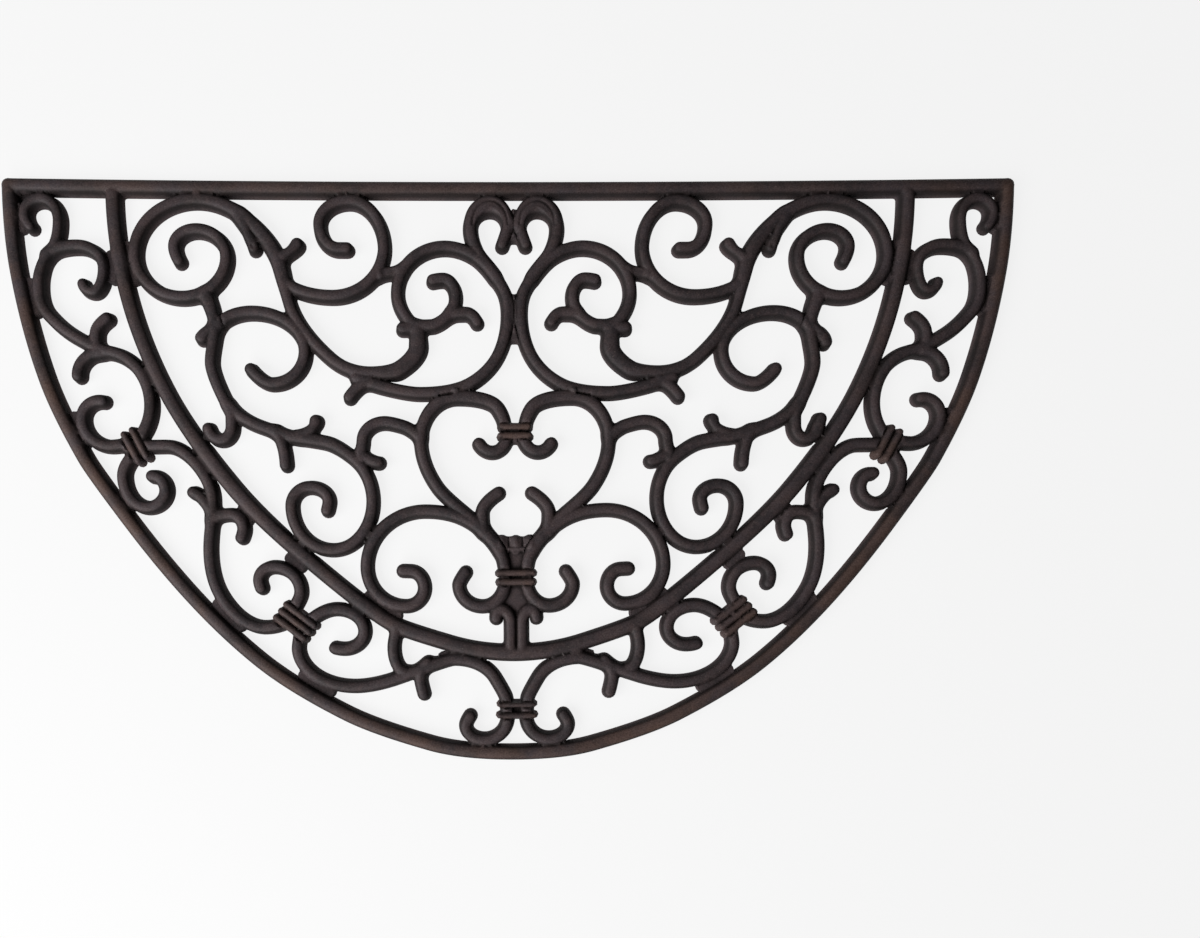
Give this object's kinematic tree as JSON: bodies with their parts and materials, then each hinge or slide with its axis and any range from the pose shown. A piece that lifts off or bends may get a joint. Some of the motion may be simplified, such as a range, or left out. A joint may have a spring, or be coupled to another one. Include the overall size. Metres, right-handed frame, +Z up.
{
  "type": "half round rubber doormat",
  "caption": "Half round doormat moulded in dark rubber, with open scrollwork inside a bar rim and a flat underside.",
  "frame": {"origin": "centre of the mat's bounding box, on the surface it lies on", "axes": "+X along the straight edge, +Y from the curved edge to the straight edge, +Z up through the mat's thickness"},
  "size_m": [0.7544, 0.4336, 0.01],
  "materials": {
    "rubber": "satin"
  },
  "bodies": {
    "root": {"mat": "rubber"}
  },
  "joints": []
}
